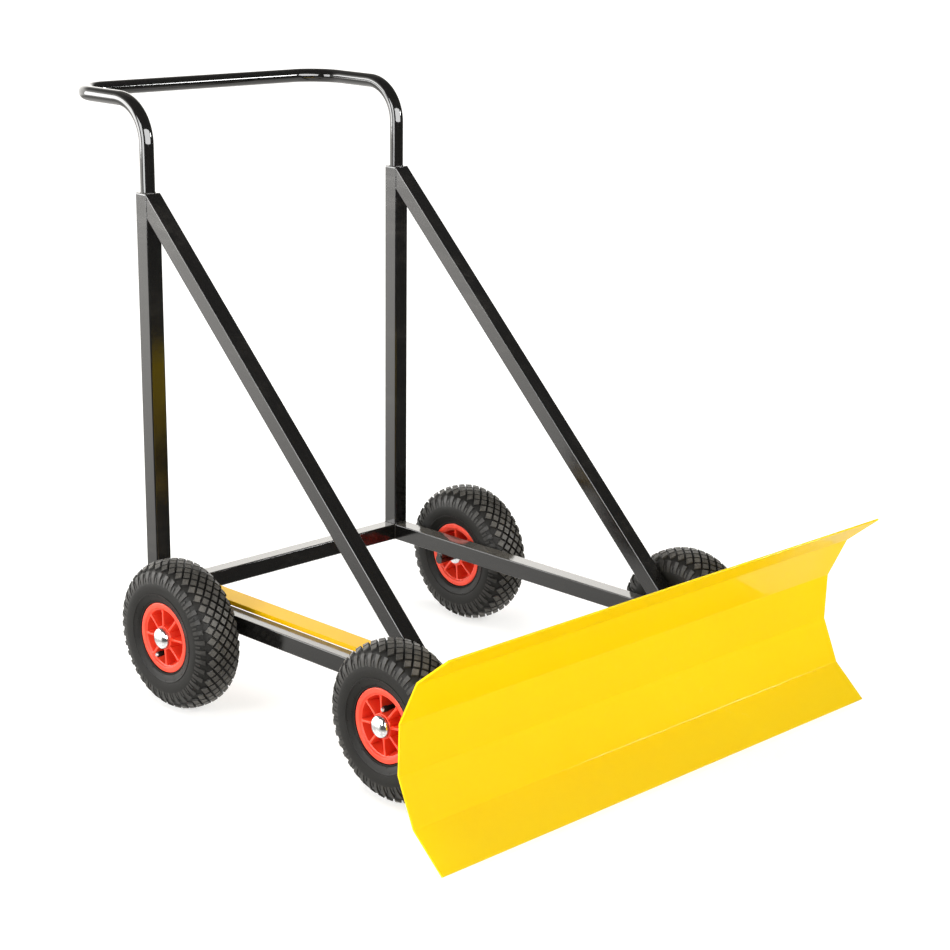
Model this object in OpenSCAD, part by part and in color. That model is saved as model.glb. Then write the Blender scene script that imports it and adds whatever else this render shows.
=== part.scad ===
// Wheeled snow shovel: a folded steel blade on a four-wheeled push frame.
// Millimetres. +Z is up, the blade faces -Y and the driver walks behind the handle, on the +Y side.
// The driver's left is +X and the driver's right is -X.
// The origin is under the middle of the whole part, on the ground.

/* [Frame] */
// Distance between the middles of the two side rails
frame_w = 564; // [556:2:568]
// Outside size of the square tube
tube_w = 30; // [28:1:30]
// Wall of the square tube
tube_wall = 2; // [1.5:0.5:2.5]
// Height of the side rails' top face
rail_top = 172; // [171:1:173]
// From the middle of the uprights forward to the front end of the side rails
rail_reach = 747; // [740:1:755]
// Height of the uprights' top, under their cap plates
upright_top = 857; // [801:2:901]
// From the middle of the uprights forward to the front of the braces' feet
brace_reach = 718; // [700:1:718]

/* [Handle] */
// Outside diameter of the round handle tube
handle_d = 25; // [22:1:25]
// Wall of the round handle tube
handle_wall = 2; // [1.5:0.5:2.5]
// Height of the middle of the grip
handle_h = 1010; // [980:2:1060]
// From the middle of the uprights back to the middle of the grip
handle_reach = 215; // [190:5:260]
// Bend radius where the legs turn back into the arms
leg_bend_r = 70; // [60:5:80]
// Bend radius where the arms turn into the grip
grip_bend_r = 68; // [60:2:80]

/* [Blade] */
// Width of the blade
blade_w = 1020; // [1000:10:1100]
// Length of each of the five flats across the folded sheet
flat_l = 81; // [80:1:84]
// Slope of the lowest flat from level
first_slope = 41.5; // [40:0.5:43]
// Angle of each fold
fold = 25; // [24:0.5:26]
// Thickness of the sheet
sheet = 3; // [2.5:0.5:4]
// Height of the blade's lower edge above the ground
blade_gap = 11; // [8:1:14]
// From the middle of the uprights forward to the blade's lower edge
blade_reach = 957; // [955:1:965]

/* [Wheels] */
// Outside diameter of the tyres
tyre_d = 260; // [258:1:260]
// Width of the tyres
tyre_w = 85; // [80:1:85]
// Distance from the part's middle to the middle of each wheel
wheel_x = 345; // [345:1:348]
// From the middle of the uprights forward to the rear axles
rear_axle_reach = 139; // [130:1:160]
// From the middle of the uprights forward to the front axles
front_axle_reach = 687; // [680:1:688]
// Diameter of the axles
axle_d = 16; // [16:1:20]
// Ribs on each side of a rim
rib_count = 8; // [6:1:10]

/* [Angling gear] */
// Width of the flat adjusting strut
strut_w = 40; // [36:1:40]
// Thickness of the flat adjusting strut
strut_t = 8; // [6:1:8]
// Diameter of the blade's hinge pin
hinge_pin_d = 16; // [14:1:16]
// Diameter of the strut's front pin
strut_pin_d = 12; // [10:1:12]
// Furthest swing of the blade
swing_max = 20; // [10:1:20]

/* [Hidden] */
$fn = 48;

BLACK = "#1c1b19";
YELLOW = "#f9cd07";
RED = "#dc3a2c";
RUBBER = "#2b2a27";
ZINC = "#b9bcc0";
CHROME = "#d8dadc";

LEFT = 1;
RIGHT = -1;

// The clearance between pieces of different bodies, and the radial play of a pin in its bore.
gap = 0.3;
play = 0.05;

rail_x = frame_w / 2;
rail_bottom = rail_top - tube_w;
corner_r = 3;
axle_z = tyre_d / 2;

// The blade's folded line, from the lower edge up: the middle of the sheet's thickness.
function fold_slope(i) = first_slope + i * fold;
function fold_point(i) = i == 0 ? [0, 0]
    : fold_point(i - 1) + flat_l * [cos(fold_slope(i - 1)), sin(fold_slope(i - 1))];
// The outward mitre at fold i, for a sheet face that lies `off` behind the middle line.
function mitre(i, off) =
    let (before = fold_slope(max(i - 1, 0)), after = fold_slope(min(i, 4)),
         middle = (before + after) / 2)
    off / cos((after - before) / 2) * [sin(middle), -cos(middle)];
function face_point(i, off) = fold_point(i) + mitre(i, off);

// Everything hangs on the uprights' place, which puts the origin under the middle of the part's length.
blade_front = blade_reach - min(face_point(0, -sheet / 2)[0], face_point(5, -sheet / 2)[0],
                                face_point(5, sheet / 2)[0]);
handle_back = handle_reach + handle_d / 2;
upright_y = (blade_front - handle_back) / 2;
rail_front_y = upright_y - rail_reach;
rail_back_y = upright_y + tube_w / 2;
crossbar_front_y = rail_front_y + tube_w / 2;
rear_axle_y = upright_y - rear_axle_reach;
front_axle_y = upright_y - front_axle_reach;
blade_y = upright_y - blade_reach;

// Plates that close the tubes' ends.
plate_t = 3;

// Braces: the upper face runs from the cap plate's top to the front of the foot.
brace_rise = upright_top + plate_t - rail_top;
brace_run = brace_reach - tube_w / 2;
brace_slope = atan2(brace_rise, brace_run);

// Wheel stations along each axle, measured from the middle of the wheel.
hub_half = 36.5;
rib_half = 35;
flange_half = 35.8;
seat_half = 32;
web_half = 3;
washer_t = 2.5;

// Radii on a wheel: where the tyre is widest, the rim's flange, its bead seat, its web and its hub.
widest_r = 88;
flange_r = 61;
seat_r = 50;
web_r = 44.5;
hub_r = 22;
bearing_r = 14;

// Hinge on the left rail, and the strut beside the right rail.
lug_t = 6;
hinge_y = upright_y - 800;
strut_x = -(rail_x - tube_w / 2 - 0.5 - strut_w / 2);
strut_z = rail_top + gap;
strut_pin_y = upright_y - 805;
strut_back_y = upright_y + 10;
guide_t = 5;
screw_d = 10;
slot_w = strut_pin_d + 7;

module round_square(size, r) {
    steps = 4;
    h = size / 2 - r;
    polygon([for (k = [0:3], i = [0:steps])
        let (a = 90 * k + 90 * i / steps, s = [[1, 1], [-1, 1], [-1, -1], [1, -1]][k])
        [h * s[0] + r * cos(a), h * s[1] + r * sin(a)]]);
}

// Square tube standing on the XY plane.
module square_tube(length) {
    linear_extrude(length) difference() {
        round_square(tube_w, corner_r);
        round_square(tube_w - 2 * tube_wall, corner_r - tube_wall + 0.5);
    }
}

// Puts a child that points up along +Z so that it points outwards on the given side.
module facing(side) {
    rotate([0, side * 90, 0]) children();
}

module side_rail(side) {
    color(BLACK) translate([side * rail_x, rail_back_y, rail_top - tube_w / 2])
        rotate([90, 0, 0]) square_tube(rail_back_y - rail_front_y);
}

module crossbar(y) {
    half = rail_x - tube_w / 2;
    color(BLACK) translate([-half, y, rail_top - tube_w / 2])
        rotate([0, 90, 0]) square_tube(2 * half);
}

module upright(side) {
    color(BLACK) translate([side * rail_x, upright_y, rail_top])
        square_tube(upright_top - rail_top);
}

// A square tube along the brace's line, cut off by the upright's front face and the rail's top.
module brace(side) {
    spare = 80;
    length = norm([brace_rise, brace_run]) + 2 * spare;
    color(BLACK) intersection() {
        translate([side * rail_x, upright_y - brace_reach, rail_top])
            rotate([brace_slope - 90, 0, 0])
                translate([0, tube_w / 2, -spare]) square_tube(length);
        translate([side * rail_x - tube_w, upright_y - brace_reach - 1, rail_top])
            cube([2 * tube_w, brace_reach + 1 - tube_w / 2, brace_rise]);
    }
}

// The handle's solid path at one tube radius: two legs, two arms and the grip.
module handle_path(r, leg_bottom) {
    for (side = [RIGHT, LEFT]) {
        translate([side * rail_x, upright_y, leg_bottom])
            cylinder(r = r, h = handle_h - leg_bend_r - leg_bottom);
        translate([side * rail_x, upright_y + leg_bend_r, handle_h - leg_bend_r])
            rotate([90, 0, -90]) rotate_extrude(angle = 90) translate([leg_bend_r, 0]) circle(r);
        translate([side * rail_x, upright_y + leg_bend_r, handle_h])
            rotate([-90, 0, 0]) cylinder(r = r, h = handle_reach - leg_bend_r - grip_bend_r);
        translate([side * (rail_x - grip_bend_r), upright_y + handle_reach - grip_bend_r, handle_h])
            rotate([0, 0, side == LEFT ? 0 : 90])
                rotate_extrude(angle = 90) translate([grip_bend_r, 0]) circle(r);
    }
    grip_half = rail_x - grip_bend_r;
    translate([-grip_half, upright_y + handle_reach, handle_h])
        rotate([0, 90, 0]) cylinder(r = r, h = 2 * grip_half);
}

// The legs run down inside the uprights.
module push_handle() {
    socket = 60;
    color(BLACK) difference() {
        handle_path(handle_d / 2, upright_top - socket);
        handle_path(handle_d / 2 - handle_wall, upright_top - socket);
    }
}

// Welded plates that close the uprights around the handle's legs.
module upright_caps() {
    color(BLACK) for (side = [RIGHT, LEFT])
        translate([side * rail_x, upright_y, upright_top]) difference() {
            linear_extrude(plate_t) round_square(tube_w, corner_r);
            translate([0, 0, -1]) cylinder(d = handle_d + 2 * play, h = plate_t + 2);
        }
}

// Plastic plugs in the rear ends of the side rails.
module rail_end_plugs() {
    head_t = 1.5;
    plug_l = 12;
    inside = tube_w - 2 * tube_wall - 0.6;
    color("#151515") for (side = [RIGHT, LEFT])
        translate([side * rail_x, rail_back_y, rail_top - tube_w / 2]) rotate([-90, 0, 0]) {
            linear_extrude(head_t) round_square(tube_w - 1, corner_r);
            translate([0, 0, -plug_l]) linear_extrude(plug_l) round_square(inside, 1);
        }
}

// Welded plates that close the front ends of the side rails.
module rail_front_plates() {
    color(BLACK) for (side = [RIGHT, LEFT])
        translate([side * rail_x, rail_front_y, rail_top - tube_w / 2])
            rotate([90, 0, 0]) linear_extrude(plate_t) round_square(tube_w, corner_r);
}

// Blocks welded under the rails, hollowed to sit on the stub axles.
module axle_blocks() {
    block_w = 14;
    color(BLACK) for (side = [RIGHT, LEFT], y = [rear_axle_y, front_axle_y]) difference() {
        translate([side * rail_x - tube_w / 2, y - block_w / 2, axle_z])
            cube([tube_w, block_w, rail_bottom - axle_z]);
        translate([side * (rail_x - tube_w), y, axle_z]) facing(side)
            cylinder(d = axle_d, h = 2 * tube_w);
    }
}

module stub_axle(side, y) {
    inner_x = rail_x - tube_w / 2 - 2;
    outer_x = wheel_x + hub_half + gap + washer_t + 2;
    color(BLACK) translate([side * inner_x, y, axle_z]) facing(side)
        cylinder(d = axle_d, h = outer_x - inner_x);
}

module washers(offset, r) {
    color(ZINC) for (side = [RIGHT, LEFT], y = [rear_axle_y, front_axle_y])
        translate([side * (wheel_x + offset), y, axle_z]) facing(side) difference() {
            cylinder(r = r, h = washer_t);
            translate([0, 0, -1]) cylinder(d = axle_d + 2 * play, h = washer_t + 2);
        }
}

module inner_washers() {
    washers(-hub_half - gap - washer_t, 16);
}

module outer_washers() {
    washers(hub_half + gap, 17);
}

// Domed caps pushed on to the outer ends of the axles.
module axle_caps() {
    cap_r = 18.5;
    rim_t = 2.5;
    dome_h = 6;
    sphere_r = (cap_r * cap_r + dome_h * dome_h) / (2 * dome_h);
    color(CHROME) for (side = [RIGHT, LEFT], y = [rear_axle_y, front_axle_y])
        translate([side * (wheel_x + hub_half + gap + washer_t), y, axle_z]) facing(side)
            difference() {
                union() {
                    cylinder(r = cap_r, h = rim_t);
                    intersection() {
                        translate([0, 0, rim_t + dome_h - sphere_r]) sphere(sphere_r);
                        translate([0, 0, rim_t]) cylinder(r = cap_r + 1, h = dome_h + 1);
                    }
                }
                translate([0, 0, -1]) cylinder(d = axle_d + 2 * play, h = 1 + 2);
            }
}

// Half of the tyre's outer outline, from the crown to the widest point and in to the rim flange.
rubber_t = 8;
bead_half = 20;
tyre_crown = [for (t = [0:10:90])
    [tyre_w / 2 * pow(sin(t), 0.8), widest_r + (tyre_d / 2 - widest_r) * pow(cos(t), 0.8)]];
tyre_wall = [for (t = [15:15:90])
    [seat_half + (tyre_w / 2 - seat_half) * cos(t), widest_r - (widest_r - flange_r - 0.5) * sin(t)]];
tyre_inside = [for (t = [0:15:90])
    [(tyre_w / 2 - rubber_t) * pow(sin(t), 0.8),
     widest_r + (tyre_d / 2 - rubber_t - widest_r) * pow(cos(t), 0.8)]];
tyre_bead = [[seat_half, seat_r + gap], [bead_half, seat_r + gap], [bead_half, 60], [29, 70]];

module tyre() {
    half = concat(tyre_crown, tyre_wall, tyre_bead,
                  [for (i = [len(tyre_inside) - 1:-1:0]) tyre_inside[i]]);
    other_half = [for (i = [len(half) - 2:-1:1]) [-half[i][0], half[i][1]]];
    color(RUBBER) rotate_extrude()
        polygon([for (p = concat(half, other_half)) [p[1], p[0]]]);
}

module inner_tube() {
    ring_r = 85;
    tube_r = 29;
    tube_t = 1.5;
    color("#222222") rotate_extrude() translate([ring_r, 0]) difference() {
        circle(tube_r);
        circle(tube_r - tube_t);
    }
}

// The valve comes through the rim in the middle of a pocket between two ribs and bends outwards.
valve_turn = 180 / rib_count;
valve_offset = 12;
valve_r = 33;
valve_tip = 44;

module rim() {
    barrel = [
        [seat_r, -bead_half], [seat_r, -seat_half], [flange_r, -seat_half], [flange_r, -flange_half],
        [seat_r - 1, -flange_half], [web_r, -web_half], [hub_r, -web_half], [hub_r - 1.5, -hub_half],
        [bearing_r, -hub_half], [bearing_r, hub_half], [hub_r - 1.5, hub_half], [hub_r, web_half],
        [web_r, web_half], [seat_r - 1, flange_half], [flange_r, flange_half], [flange_r, seat_half],
        [seat_r, seat_half], [seat_r, bead_half]];
    rib_t = 4;
    color(RED) difference() {
        union() {
            rotate_extrude() polygon(barrel);
            for (k = [0:rib_count - 1]) rotate([0, 0, 360 / rib_count * k])
                translate([hub_r - 4, -rib_t / 2, -rib_half])
                    cube([47 - hub_r + 4, rib_t, 2 * rib_half]);
        }
        rotate([0, 0, valve_turn]) translate([40, 0, valve_offset])
            rotate([0, 90, 0]) cylinder(d = 11.4, h = 20);
    }
}

module bearings() {
    bearing_l = 26;
    color("#8f9296") for (z = [-hub_half, hub_half - bearing_l]) translate([0, 0, z])
        difference() {
            cylinder(r = bearing_r - play, h = bearing_l);
            translate([0, 0, -1]) cylinder(d = axle_d + 2 * play, h = bearing_l + 2);
        }
}

// A rubber stem that starts at the inner tube and turns to point outwards, with a dust cap.
module valve() {
    root_d = 10.6;
    stem_d = 8;
    cap_d = 10;
    cap_l = 11;
    tube_skin_r = 56;
    color("#1a1a1a") rotate([0, 0, valve_turn]) union() {
        translate([valve_r, 0, valve_offset]) rotate([0, 90, 0])
            cylinder(d = root_d, h = tube_skin_r - valve_r);
        translate([valve_r, 0, valve_offset]) sphere(d = root_d);
        translate([valve_r, 0, valve_offset]) cylinder(d = stem_d, h = valve_tip - valve_offset);
        translate([valve_r, 0, valve_tip - cap_l]) cylinder(d = cap_d, h = cap_l);
    }
}

// Where each wheel is: side, station along the part, and the angle that its first rib stands at.
// The valves face outwards.
function wheel_place(name) =
    name == "rear_left" ? [LEFT, rear_axle_y, 41]
    : name == "rear_right" ? [RIGHT, rear_axle_y, 139]
    : name == "front_left" ? [LEFT, front_axle_y, 20]
    : [RIGHT, front_axle_y, -39];

module on_wheel(name) {
    place = wheel_place(name);
    translate([place[0] * wheel_x, place[1], axle_z])
        facing(place[0]) rotate([0, 0, place[2]]) children();
}

// The folded sheet: five equal flats, hollow to the front.
module blade_sheet(extra = 0) {
    outline = concat([for (i = [0:5]) face_point(i, sheet / 2)],
                     [for (i = [5:-1:0]) face_point(i, -sheet / 2 - extra)]);
    translate([-blade_w / 2, blade_y, blade_gap + sheet / 2]) rotate([90, 0, 90])
        linear_extrude(blade_w) polygon(outline);
}

module blade() {
    color(YELLOW) blade_sheet();
}

// Pieces welded to the sheet start here, inside its curve, and are cut to its back.
weld_y = blade_y + 80;

// The welded eye that turns on the hinge pin, with its web to the blade's back.
module blade_hinge_eye() {
    eye_r = 15;
    web_t = 20;
    height = tube_w - 2 * gap;
    color(YELLOW) difference() {
        union() {
            translate([rail_x, hinge_y, rail_bottom + gap]) cylinder(r = eye_r, h = height);
            translate([rail_x - web_t / 2, weld_y, rail_bottom + gap])
                cube([web_t, hinge_y - weld_y, height]);
        }
        translate([rail_x, hinge_y, rail_bottom])
            cylinder(d = hinge_pin_d + 2 * play, h = tube_w);
        blade_sheet(20);
    }
}

// The pin's place on the blade moves outwards as the blade swings, so its lugs are slotted.
pin_arm = rail_x - strut_x;
slot_run = pin_arm / cos(swing_max) + (hinge_y - strut_pin_y) * tan(swing_max) - pin_arm;

module strut_slot(height) {
    r = slot_w / 2;
    linear_extrude(height) polygon(concat(
        [for (a = [-90:15:90]) [r * cos(a) + 3, r * sin(a)]],
        [for (a = [90:15:270]) [r * cos(a) - slot_run - 3, r * sin(a)]]));
}

module strut_lugs() {
    wall = 7;
    low_x = strut_x - slot_run - 3 - slot_w / 2 - 4;
    high_x = strut_x + 3 + slot_w / 2 + wall;
    back_y = strut_pin_y + slot_w / 2 + wall;
    color(YELLOW) for (z = [strut_z - gap - lug_t, strut_z + strut_t + gap]) difference() {
        translate([low_x, weld_y, z]) cube([high_x - low_x, back_y - weld_y, lug_t]);
        translate([strut_x, strut_pin_y, z - 1]) strut_slot(lug_t + 2);
        blade_sheet(20);
    }
}

// Plate ribs behind the blade that follow its folds.
module blade_rib(x) {
    rib_t = 5;
    low = 80;
    high = 280;
    back_y = blade_y + 118;
    color(YELLOW) difference() {
        translate([x - rib_t / 2, blade_y + 40, low]) cube([rib_t, back_y - blade_y - 40, high - low]);
        blade_sheet(90);
    }
}

module hinge_lugs() {
    width = 27;
    lug_r = 14;
    root_y = rail_front_y + 22;
    color(BLACK) for (z = [rail_bottom - lug_t, rail_top]) difference() {
        union() {
            translate([rail_x - width / 2, hinge_y, z]) cube([width, root_y - hinge_y, lug_t]);
            translate([rail_x, hinge_y, z]) cylinder(r = lug_r, h = lug_t);
        }
        translate([rail_x, hinge_y, z - 1]) cylinder(d = hinge_pin_d + 2 * play, h = lug_t + 2);
    }
}

// A headed pin that stands upright, with a cross hole for its clip.
module headed_pin(d, bottom, top, head_r, head_t, clip_d, clip_z) {
    difference() {
        union() {
            translate([0, 0, bottom]) cylinder(d = d, h = top - bottom);
            translate([0, 0, top]) cylinder(r = head_r, h = head_t);
        }
        translate([-d, 0, clip_z]) rotate([0, 90, 0]) cylinder(d = clip_d + 0.3, h = 2 * d);
    }
}

// A straight wire through the pin with a ring at one end.
module ring_clip(d, clip_d, clip_z) {
    ring_r = 8;
    translate([-d / 2 - 4, 0, clip_z]) rotate([0, 90, 0]) cylinder(d = clip_d, h = d + 8);
    translate([d / 2 + 4 + ring_r - 0.5, 0, clip_z])
        rotate_extrude() translate([ring_r, 0]) circle(d = clip_d);
}

hinge_clip_z = rail_bottom - lug_t - 5;
strut_clip_z = strut_z - gap - lug_t - 5;

module hinge_pin() {
    color(ZINC) translate([rail_x, hinge_y, 0]) rotate([0, 0, 90])
        headed_pin(hinge_pin_d, hinge_clip_z - 6, rail_top + lug_t, 12, 6, 3, hinge_clip_z);
}

module hinge_pin_clip() {
    color(ZINC) translate([rail_x, hinge_y, 0]) rotate([0, 0, 90])
        ring_clip(hinge_pin_d, 3, hinge_clip_z);
}

module angle_strut() {
    nose = 15;
    length = strut_back_y - strut_pin_y + nose;
    color(YELLOW) translate([strut_x, strut_pin_y, strut_z]) difference() {
        translate([-strut_w / 2, -nose, 0]) cube([strut_w, length, strut_t]);
        translate([0, 0, -1]) cylinder(d = strut_pin_d + 2 * play, h = strut_t + 2);
    }
}

module strut_pin() {
    color(ZINC) translate([strut_x, strut_pin_y, 0]) rotate([0, 0, 90])
        headed_pin(strut_pin_d, strut_clip_z - 5, strut_z + strut_t + gap + lug_t + gap, 14, 5, 3,
                   strut_clip_z);
}

module strut_pin_clip() {
    color(ZINC) translate([strut_x, strut_pin_y, 0]) rotate([0, 0, 90])
        ring_clip(strut_pin_d, 3, strut_clip_z);
}

// A bridge over the strut: two legs and a top plate.
leg_w = 12;
bridge_z = strut_z + strut_t + 0.7;
bridge_low_x = strut_x - strut_w / 2 - 0.5 - leg_w;
bridge_high_x = strut_x + strut_w / 2 + 0.5 + leg_w;

module guide_bridge(y, depth) {
    leg_h = bridge_z - rail_top;
    translate([bridge_low_x, y, rail_top]) cube([leg_w - 0.5, depth, leg_h]);
    translate([bridge_high_x - leg_w, y, rail_top]) cube([leg_w, depth, leg_h]);
    translate([bridge_low_x, y, bridge_z]) cube([bridge_high_x - bridge_low_x, depth, guide_t]);
}

module front_strut_guide() {
    depth = 24;
    color(BLACK) difference() {
        guide_bridge(crossbar_front_y - depth / 2, depth);
        translate([strut_x, crossbar_front_y, bridge_z - 1])
            cylinder(d = screw_d + 2 * play, h = guide_t + 2);
    }
}

// The rear guide has a floor as well, welded to the inside of the rail.
module rear_strut_guide() {
    depth = 24;
    y = upright_y - 600;
    inner_x = -(rail_x - tube_w / 2);
    color(BLACK) union() {
        guide_bridge(y, depth);
        translate([inner_x, y, rail_top - guide_t])
            cube([bridge_high_x - inner_x, depth, guide_t]);
    }
}

// A clamp screw with a cross bar, which presses on the strut.
module clamp_screw() {
    collar_z = bridge_z + guide_t + gap;
    bar_z = collar_z + 14;
    bar_l = 56;
    color(ZINC) translate([strut_x, crossbar_front_y, 0]) {
        translate([0, 0, strut_z + strut_t + gap]) cylinder(d = screw_d, h = bar_z - strut_z - strut_t);
        translate([0, 0, collar_z]) cylinder(d = 18, h = 19);
        translate([-bar_l / 2, 0, bar_z]) rotate([0, 90, 0]) cylinder(d = 7, h = bar_l);
    }
}

side_rail(LEFT);  // left_side_rail
side_rail(RIGHT);  // right_side_rail
crossbar(upright_y);  // rear_crossbar
crossbar(crossbar_front_y);  // front_crossbar
upright(LEFT);  // left_upright
upright(RIGHT);  // right_upright
brace(LEFT);  // left_brace
brace(RIGHT);  // right_brace
push_handle();
upright_caps();
rail_end_plugs();
rail_front_plates();
axle_blocks();
stub_axle(LEFT, rear_axle_y);  // rear_left_axle
stub_axle(RIGHT, rear_axle_y);  // rear_right_axle
stub_axle(LEFT, front_axle_y);  // front_left_axle
stub_axle(RIGHT, front_axle_y);  // front_right_axle
inner_washers();
outer_washers();
axle_caps();
hinge_lugs();
hinge_pin();
hinge_pin_clip();
front_strut_guide();
rear_strut_guide();
on_wheel("rear_left") tyre();  // rear_left_tyre
on_wheel("rear_left") inner_tube();  // rear_left_inner_tube
on_wheel("rear_left") rim();  // rear_left_rim
on_wheel("rear_left") bearings();  // rear_left_bearings
on_wheel("rear_left") valve();  // rear_left_valve
on_wheel("rear_right") tyre();  // rear_right_tyre
on_wheel("rear_right") inner_tube();  // rear_right_inner_tube
on_wheel("rear_right") rim();  // rear_right_rim
on_wheel("rear_right") bearings();  // rear_right_bearings
on_wheel("rear_right") valve();  // rear_right_valve
on_wheel("front_left") tyre();  // front_left_tyre
on_wheel("front_left") inner_tube();  // front_left_inner_tube
on_wheel("front_left") rim();  // front_left_rim
on_wheel("front_left") bearings();  // front_left_bearings
on_wheel("front_left") valve();  // front_left_valve
on_wheel("front_right") tyre();  // front_right_tyre
on_wheel("front_right") inner_tube();  // front_right_inner_tube
on_wheel("front_right") rim();  // front_right_rim
on_wheel("front_right") bearings();  // front_right_bearings
on_wheel("front_right") valve();  // front_right_valve
blade();
blade_hinge_eye();
strut_lugs();
blade_rib(rail_x - 12.5);  // left_blade_rib
blade_rib(strut_x + 22);  // right_blade_rib
angle_strut();
strut_pin();
strut_pin_clip();
clamp_screw();
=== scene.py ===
import math
import random

import bmesh
import bpy
from mathutils import Matrix, Vector


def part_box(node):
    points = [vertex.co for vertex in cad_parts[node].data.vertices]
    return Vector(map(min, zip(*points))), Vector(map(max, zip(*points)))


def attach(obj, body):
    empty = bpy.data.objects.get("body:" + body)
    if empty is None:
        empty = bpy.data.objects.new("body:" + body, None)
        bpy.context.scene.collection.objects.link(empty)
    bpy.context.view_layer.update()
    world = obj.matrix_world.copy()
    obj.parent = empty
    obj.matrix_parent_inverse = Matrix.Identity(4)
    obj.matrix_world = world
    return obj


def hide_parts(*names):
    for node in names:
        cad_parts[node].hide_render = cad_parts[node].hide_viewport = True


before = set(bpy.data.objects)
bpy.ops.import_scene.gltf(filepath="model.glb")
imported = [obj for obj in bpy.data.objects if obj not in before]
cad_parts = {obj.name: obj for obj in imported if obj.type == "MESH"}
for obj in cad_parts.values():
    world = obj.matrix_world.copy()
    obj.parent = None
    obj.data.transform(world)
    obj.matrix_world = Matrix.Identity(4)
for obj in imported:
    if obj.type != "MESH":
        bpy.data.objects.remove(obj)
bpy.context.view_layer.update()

# Lengths below are in millimetres in the frame's axes, with y measured from the middle of the uprights.
MM = 0.001
LEFT, RIGHT = 1, -1
SIDES = {"left": LEFT, "right": RIGHT}


def middle_of(node):
    low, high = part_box(node)
    return (low + high) / 2


UPRIGHT_Y = middle_of("left_upright").y * 1000
rail_low, rail_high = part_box("left_side_rail")
RAIL_X = middle_of("left_side_rail").x * 1000
RAIL_TOP = rail_high.z * 1000
RAIL_FRONT = rail_low.y * 1000 - UPRIGHT_Y
TUBE = (rail_high.x - rail_low.x) * 1000
HALF = TUBE / 2
TUBE_WALL = 2
UPRIGHT_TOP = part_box("left_upright")[1].z * 1000
CAP_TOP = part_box("upright_caps")[1].z * 1000
WHEEL_X = middle_of("rear_left_tyre").x * 1000
AXLE_Z = middle_of("rear_left_tyre").z * 1000
AXLES = {
    "rear": middle_of("rear_left_tyre").y * 1000 - UPRIGHT_Y,
    "front": middle_of("front_left_tyre").y * 1000 - UPRIGHT_Y,
}
FULL_TURN = 2 * math.pi


def at(x, y, z):
    """A point of the frame, in metres, from millimetres with y measured from the uprights."""
    return Vector((x, y + UPRIGHT_Y, z)) * MM


# ---------------------------------------------------------------- materials


def map_range(tree, value, low, high, new_low, new_high):
    """A node that carries a value from one range to another and stops at both ends."""
    node = tree.nodes.new("ShaderNodeMapRange")
    ranges = {"From Min": low, "From Max": high, "To Min": new_low, "To Max": new_high}
    for name, number in ranges.items():
        node.inputs[name].default_value = number
    tree.links.new(value, node.inputs["Value"])
    return node


class Shader:
    """A small helper round one material's nodes."""

    def __init__(self, name):
        self.material = bpy.data.materials.new(name)
        self.material.use_nodes = True
        self.tree = self.material.node_tree
        self.surface = self.tree.nodes["Principled BSDF"]
        coords = self.tree.nodes.new("ShaderNodeTexCoord")
        self.coords = coords.outputs["Object"]

    def set(self, **values):
        """Sets the surface's own sockets, with _ for the spaces in their names."""
        for name, value in values.items():
            self.surface.inputs[name.replace("_", " ")].default_value = value
        return self

    def link(self, output, socket):
        self.tree.links.new(output, socket)

    def stretch(self, scale):
        """The object's coordinates, drawn out by a scale for each axis."""
        node = self.tree.nodes.new("ShaderNodeMapping")
        node.inputs["Scale"].default_value = scale
        self.link(self.coords, node.inputs["Vector"])
        return node.outputs["Vector"]

    def noise(self, scale, detail, rough, coords=None, distortion=0.0):
        node = self.tree.nodes.new("ShaderNodeTexNoise")
        node.inputs["Scale"].default_value = scale
        node.inputs["Detail"].default_value = detail
        node.inputs["Roughness"].default_value = rough
        node.inputs["Distortion"].default_value = distortion
        self.link(coords or self.coords, node.inputs["Vector"])
        return node.outputs["Fac"]

    def speckle(self, scale):
        node = self.tree.nodes.new("ShaderNodeTexVoronoi")
        node.inputs["Scale"].default_value = scale
        self.link(self.coords, node.inputs["Vector"])
        return node.outputs["Distance"]

    def span(self, value, low, high, new_low=0.0, new_high=1.0):
        return map_range(self.tree, value, low, high, new_low, new_high).outputs["Result"]

    def math(self, operation, a, b):
        node = self.tree.nodes.new("ShaderNodeMath")
        node.operation = operation
        for socket, value in zip(node.inputs, (a, b)):
            if isinstance(value, (int, float)):
                socket.default_value = value
            else:
                self.link(value, socket)
        return node.outputs["Value"]

    def facing_up(self):
        """1 on level tops, 0 on upright faces."""
        node = self.tree.nodes.new("ShaderNodeSeparateXYZ")
        self.link(self.tree.nodes["Texture Coordinate"].outputs["Normal"], node.inputs["Vector"])
        return node.outputs["Z"]

    def attribute(self, name):
        node = self.tree.nodes.new("ShaderNodeAttribute")
        node.attribute_name = name
        return node.outputs["Fac"]

    def mix(self, factor, a, b):
        node = self.tree.nodes.new("ShaderNodeMix")
        node.data_type = "RGBA"
        self.link(factor, node.inputs["Factor"])
        for socket, value in ((node.inputs["A"], a), (node.inputs["B"], b)):
            if isinstance(value, tuple):
                socket.default_value = value + (1,)
            else:
                self.link(value, socket)
        return node.outputs["Result"]

    def colour(self, output):
        self.link(output, self.surface.inputs["Base Color"])

    def rough(self, output):
        self.link(output, self.surface.inputs["Roughness"])

    def bump(self, height, distance, strength, under=None):
        """Adds bump from a height, on top of an earlier bump if under is given, and returns its normal."""
        node = self.tree.nodes.new("ShaderNodeBump")
        node.inputs["Strength"].default_value = strength
        node.inputs["Distance"].default_value = distance
        self.link(height, node.inputs["Height"])
        if under:
            self.link(under, node.inputs["Normal"])
        self.link(node.outputs["Normal"], self.surface.inputs["Normal"])
        return node.outputs["Normal"]


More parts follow.
